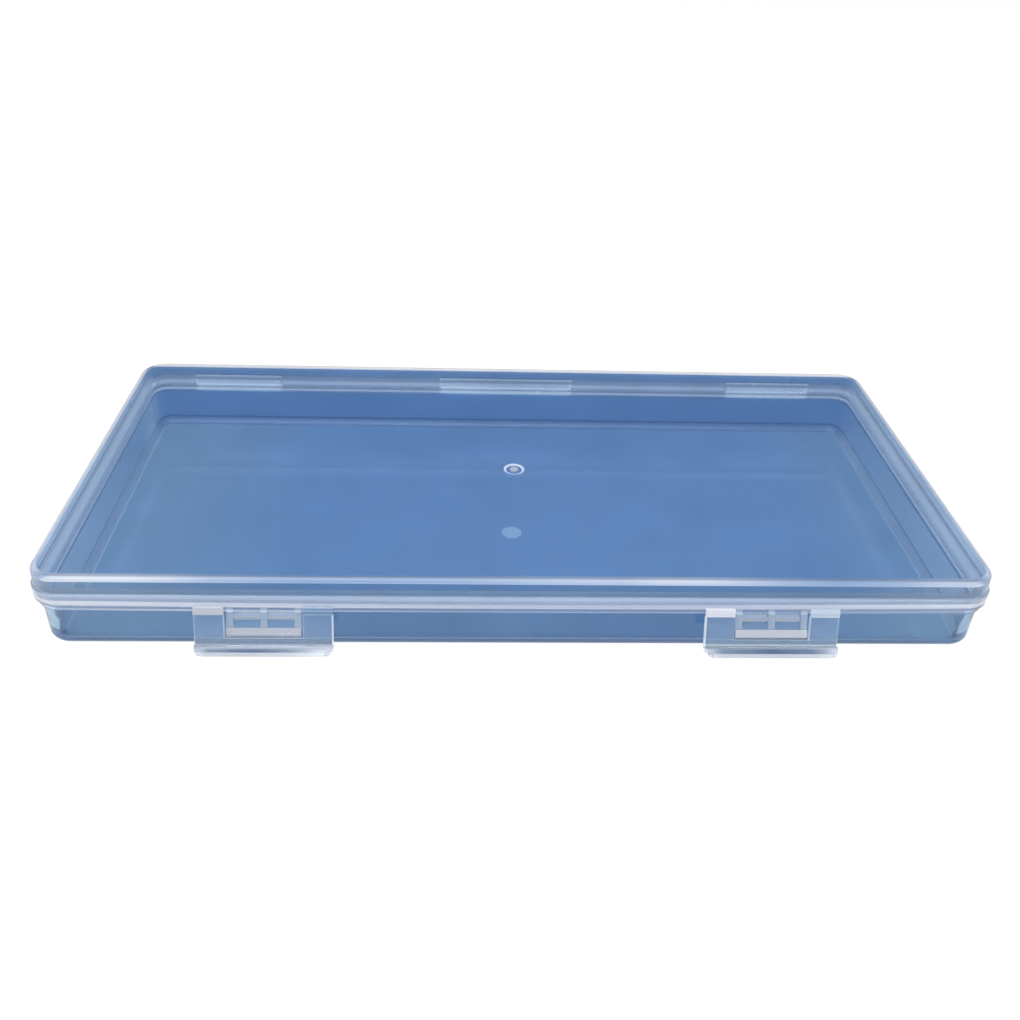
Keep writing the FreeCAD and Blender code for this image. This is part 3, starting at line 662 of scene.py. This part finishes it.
def lid_zone(normal, corners):
    """The finish of a face of the lid."""
    low, high = span(corners, Z)
    front, back = span(corners, Y)
    begins, ends = insets(corners)
    near, far = reaches(corners, LID_MARK)
    if far < MARK_RADIUS + CLOSE and low > LID_TOP - MARK_DEPTH - CLOSE:
        if near > MARK_RADIUS - RING_WIDTH - CLOSE:
            return GATE
        return FROST_AND_PAINTED_LIGHT if far < NUB_RADIUS + CLOSE else ROOF
    if abs(normal.z) > EXACTLY and low > ROOF_FOOT:
        along_edge = ends < TOP_ROUND + EDGE_BAND + CLOSE and back > FRONT_BAND
        at_back = front > REAR_BAND - CLOSE
        return CREST if low > LID_TOP - CLOSE and (along_edge or at_back) else ROOF
    if high < BEAD_TOP + CLOSE and begins < BEAD_INSET:
        return REAR_RIM if normal.y > MAINLY else RIM
    if low > ROOF_FOOT:
        return CREST
    if high < LID_FOOT:
        return EDGE
    return SKIRT if begins < SKIRT_INSET else CLEAR


# %% [markdown]
# A flap has its sides, the finger lip with its edge, the bar that hooks under the catch, the roundings of
# the plate, and the plate itself. A catch has a worn nose, and painted highlights on the edges of its ribs
# and the top of its web.

# %% Zones of the flaps and the catches
PLATE_FRONT, LIP_FRONT = -60.9, -63.0
FLAP_MIDDLE, FLAP_HALF, END_MARGIN = 60.25, 16.2, 0.5
HOOK_LOW, HOOK_HIGH = 6.3, 7.0
ROUNDING = 0.5
NOSE_TOP, WEB_TOP = 8.8, 11.1


def flap_zone(normal, corners):
    """The finish of a face of a flap."""
    low, high = span(corners, Z)
    back = span(corners, Y)[1]
    lengths = sorted(end - start for start, end in (span(corners, axis) for axis in (X, Y, Z)))
    if abs(normal.x) > PARTLY:
        towards_middle = normal.x * corners[0].x < 0.0
        at_end = min(abs(corner.x) for corner in corners) < FLAP_MIDDLE - FLAP_HALF + END_MARGIN
        # The end faces that look to the middle get a painted highlight.
        return FLAP_END_HIGHLIGHT if towards_middle and at_end else EDGE
    if back < PLATE_FRONT and abs(normal.z) > MOSTLY:
        return LIP
    if back < LIP_FRONT:
        return LIP_EDGE
    if normal.z > SLIGHTLY and low > HOOK_LOW and high < HOOK_HIGH:
        return HOOK
    if lengths[1] <= ROUNDING:
        return EDGE
    return PLATE if normal.y < -MOSTLY else LATCH


def catch_zone(normal, corners):
    """The finish of a face of a catch."""
    low, high = span(corners, Z)
    if high < NOSE_TOP + CLOSE and normal.y < -PARTLY:
        return FROST_AND_PAINTED_LIGHT
    rib_front = low > NOSE_TOP - CLOSE and normal.y < -HALFWAY
    web_top = low > WEB_TOP - CLOSE and normal.z > MOSTLY
    return EDGE if rib_front or web_top else LATCH


# %% [markdown]
# Some finishes end in the middle of a flat face. A mask in the material could draw that line, but a cut
# in the mesh is sharper, and it changes no shape. So the floor of the lid's mark is inset to leave a
# ring, the roof is inset to leave a band along its edge and bisected at the back, and the tray's rear
# wall is bisected to leave a window. Before each cut the faces are selected in code, by their place.

# %% Cuts in the lid and the tray
SAME = 0.01


def select_parts(piece, kind, parts, wanted):
    """Select the faces or edges of a piece that are wanted, ready for an operator."""
    bpy.ops.object.mode_set(mode="EDIT")
    bpy.ops.mesh.select_mode(type=kind)
    bpy.ops.mesh.select_all(action="DESELECT")
    bpy.ops.object.mode_set(mode="OBJECT")
    for part in parts:
        part.select = wanted(corners_of(piece, part))
    print(piece.name, kind.lower(), "selected:", sum(part.select for part in parts))
    bpy.ops.object.mode_set(mode="EDIT")


def cut_lid(piece):
    """Split off the ring of the mark, the band along the roof's edge and the strip at the back."""

    def in_ring(corners):
        level = LID_TOP - MARK_DEPTH
        flat = max(abs(corner.z - level) for corner in corners) < SAME
        return flat and reaches(corners, LID_MARK)[1] < MARK_RADIUS + CLOSE

    def on_top(corners):
        return span(corners, Z)[0] > LID_TOP - SAME

    for wanted, width in ((in_ring, RING_WIDTH), (on_top, EDGE_BAND)):
        select_parts(piece, "FACE", piece.data.polygons, wanted)
        bpy.ops.mesh.inset(thickness=width * MM)
        bpy.ops.object.mode_set(mode="OBJECT")
    select_parts(piece, "FACE", piece.data.polygons, on_top)
    bpy.ops.mesh.bisect(plane_co=(0.0, REAR_BAND * MM, 0.0), plane_no=BACKWARDS)
    bpy.ops.object.mode_set(mode="OBJECT")


def cut_tray(piece):
    """Split off the window at the top of the rear wall."""

    def inside_rear(corners):
        low, high = span(corners, Z)
        behind = span(corners, Y)[0] > CORNER_START - CLOSE
        return behind and insets(corners)[0] > LIP_INSET and low < WINDOW_FOOT < high

    select_parts(piece, "FACE", piece.data.polygons, inside_rear)
    bpy.ops.mesh.bisect(plane_co=(0.0, 0.0, WINDOW_FOOT * MM), plane_no=UPWARDS)
    bpy.ops.object.mode_set(mode="OBJECT")


# %% [markdown]
# The sides of a flap's plate are rounded a little, and the rounding shows as a bright line. It could be
# in the solid, but so small a rounding matters only to the light, so a bevel on the copy makes it. The
# long edges at the plate's two ends are selected by their place and their length.

# %% Rounded sides of the flaps
SIDE_ROUND = 0.3
SIDE_FOOT, SIDE_TOP, SIDE_LENGTH = 5.0, 12.1, 4.0


def round_sides(piece):
    """Round the long upright edges at a flap's two ends."""
    widths = [abs(vertex.co.x) / MM for vertex in piece.data.vertices]
    ends = min(widths), max(widths)

    def at_side(corners):
        low, high = span(corners, Z)
        same_end = any(all(abs(abs(corner.x) - end) < SAME for corner in corners) for end in ends)
        return same_end and low > SIDE_FOOT and high > SIDE_TOP and high - low > SIDE_LENGTH

    select_parts(piece, "EDGE", piece.data.edges, at_side)
    bpy.ops.mesh.bevel(offset=SIDE_ROUND * MM, segments=2)
    bpy.ops.object.mode_set(mode="OBJECT")


# %% [markdown]
# The rigid pieces. Each rides on the body that its solid belongs to: the tray and the catches stay put,
# the lid turns on the straps, and each flap turns on its films while the lid carries it along.

# %% Rigid pieces
RIGID = (
    ("base_tray", "tray_shell", "base", "body_plastic", tray_zone, cut_tray),
    ("lid", "lid_shell", "lid", "body_plastic", lid_zone, cut_lid),
    ("catch_left", "catch_left_block", "base", "flap_plastic", catch_zone, None),
    ("catch_right", "catch_right_block", "base", "flap_plastic", catch_zone, None),
    ("latch_flap_left", "latch_left_plate", "latch_left", "flap_plastic", flap_zone, round_sides),
    ("latch_flap_right", "latch_right_plate", "latch_right", "flap_plastic", flap_zone, round_sides),
)
for node, name, body, slot, pick, detail in RIGID:
    piece = copy_solid(node, name)
    if detail:
        detail(piece)
    smooth(piece)
    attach(piece, body)
    finish_piece(piece, node, pick)

# %% [markdown]
# The straps and films are the only pieces that bend. A rigid copy would tear away from one of its two ends
# when the box opens; here each is copied as it lies in the closed box, with its place baked into its mesh,
# and given its finish. The levels are in mm from the joint's axis.

# %% Films
STRAP_BEND = (-0.6, 2.2)
FILM_BEND = (0.4, -0.5)
FILMS = (
    ("rear_hinge_left", "strap_left", "lid_hinge", STRAP, STRAP_BEND),
    ("rear_hinge_middle", "strap_middle", "lid_hinge", STRAP, STRAP_BEND),
    ("rear_hinge_right", "strap_right", "lid_hinge", STRAP, STRAP_BEND),
    ("latch_film_left_outer", "film_left_outer", "latch_left_hinge", FROST_AND_PAINTED_LIGHT, FILM_BEND),
    ("latch_film_left_inner", "film_left_inner", "latch_left_hinge", LATCH, FILM_BEND),
    ("latch_film_right_inner", "film_right_inner", "latch_right_hinge", FROST_AND_PAINTED_LIGHT, FILM_BEND),
    ("latch_film_right_outer", "film_right_outer", "latch_right_hinge", EDGE, FILM_BEND),
)
joints = {joint["name"]: joint for joint in frame["joints"]}
for node, name, hinge, material, (near, far) in FILMS:
    piece = copy_solid(node, name)
    smooth(piece)
    joint = joints[hinge]
    level = joint["pos_m"][2]
    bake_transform(piece)
    finish_piece(piece, node, lambda normal, corners: material)

# %% [markdown]
# The box stands on a plain white ground. A white backdrop alone would look the same behind it, but a matt
# white sheet under the box also throws light up into it. The sheet lies a hair below the tray, so that
# the two faces don't fight for the same place. The camera looks down, so the end of the sheet is out of
# its view. From low down it shows as a faint line.

# %% Floor
FLOOR_SIZE = 8.0
FLOOR_GAP = 0.05 * MM
FLOOR_WHITE = colour(0.93, 0.93, 0.93)
bpy.ops.object.select_all(action="DESELECT")
bpy.ops.mesh.primitive_plane_add(size=FLOOR_SIZE, location=(0.0, 0.0, -FLOOR_GAP))
floor = bpy.context.object
floor.name = "floor"
material, tree, output = new_material("white_floor")
diffuse = add_node(tree, "ShaderNodeBsdfDiffuse", {"Color": FLOOR_WHITE})
tree.links.new(diffuse.outputs[0], output.inputs["Surface"])
floor.data.materials.append(material)
print("floor in m:", [round(side, 2) for side in floor.dimensions])

# %% [markdown]
# The room is white, and it lights the box evenly from all sides. In mirror images it is dim, because the
# lid would show it as a grey veil. Seen directly, past the end of the sheet, it is pure white, so that
# the two come close to each other.

# %% Room
ROOM_LIGHT = 0.62
ROOM_MIRRORED = 0.12
ROOM_SEEN = 1.0
world = bpy.data.worlds.new("studio")
bpy.context.scene.world = world
world.use_nodes = True
tree = world.node_tree
tree.nodes.clear()
link = tree.links.new
output = add_node(tree, "ShaderNodeOutputWorld")
room = add_node(tree, "ShaderNodeBackground", {"Color": WHITE, "Strength": ROOM_LIGHT})
mirrored = add_node(tree, "ShaderNodeBackground", {"Color": WHITE, "Strength": ROOM_MIRRORED})
seen = add_node(tree, "ShaderNodeBackground", {"Color": WHITE, "Strength": ROOM_SEEN})
path = add_node(tree, "ShaderNodeLightPath")
light_mix = add_node(tree, "ShaderNodeMixShader")
camera_mix = add_node(tree, "ShaderNodeMixShader")
link(path.outputs["Is Glossy Ray"], light_mix.inputs["Fac"])
link(room.outputs[0], light_mix.inputs[1])
link(mirrored.outputs[0], light_mix.inputs[2])
link(path.outputs["Is Camera Ray"], camera_mix.inputs["Fac"])
link(light_mix.outputs[0], camera_mix.inputs[1])
link(seen.outputs[0], camera_mix.inputs[2])
link(camera_mix.outputs[0], output.inputs["Surface"])
print("room nodes:", len(tree.nodes))

# %% [markdown]
# Two lamps finish the light. A broad, soft key shines from the front left, and a narrow strip above the
# box draws a bright line along its rounded edges. Both are aimed at the middle of the box's underside.

# %% Lamps
LAMP_TARGET = Vector((0.0, 0.0, 0.0))
KEY_PLACE, KEY_ANGLE, KEY_POWER = (-0.15, -0.45, 0.8), math.radians(50), 1.6
STRIP_PLACE, STRIP_SIZE, STRIP_POWER = (0.0, -0.10, 0.8), (0.9, 0.06), 1.2


def add_lamp(kind, name, place, power):
    """A lamp of that kind, aimed at the box."""
    bpy.ops.object.light_add(type=kind, location=place)
    lamp = bpy.context.object
    lamp.name = name
    lamp.data.energy = power
    lamp.rotation_euler = (LAMP_TARGET - lamp.location).to_track_quat("-Z", "Y").to_euler()
    print(name, "power:", power)
    return lamp


strip = add_lamp("AREA", "strip_top", STRIP_PLACE, STRIP_POWER)
strip.data.shape = "RECTANGLE"
strip.data.size, strip.data.size_y = STRIP_SIZE
key = add_lamp("SUN", "key", KEY_PLACE, KEY_POWER)
key.data.angle = KEY_ANGLE

# %% [markdown]
# The colours are shown as they are, with the plain view transform.

# %% Finish
bpy.context.scene.view_settings.view_transform = "Standard"
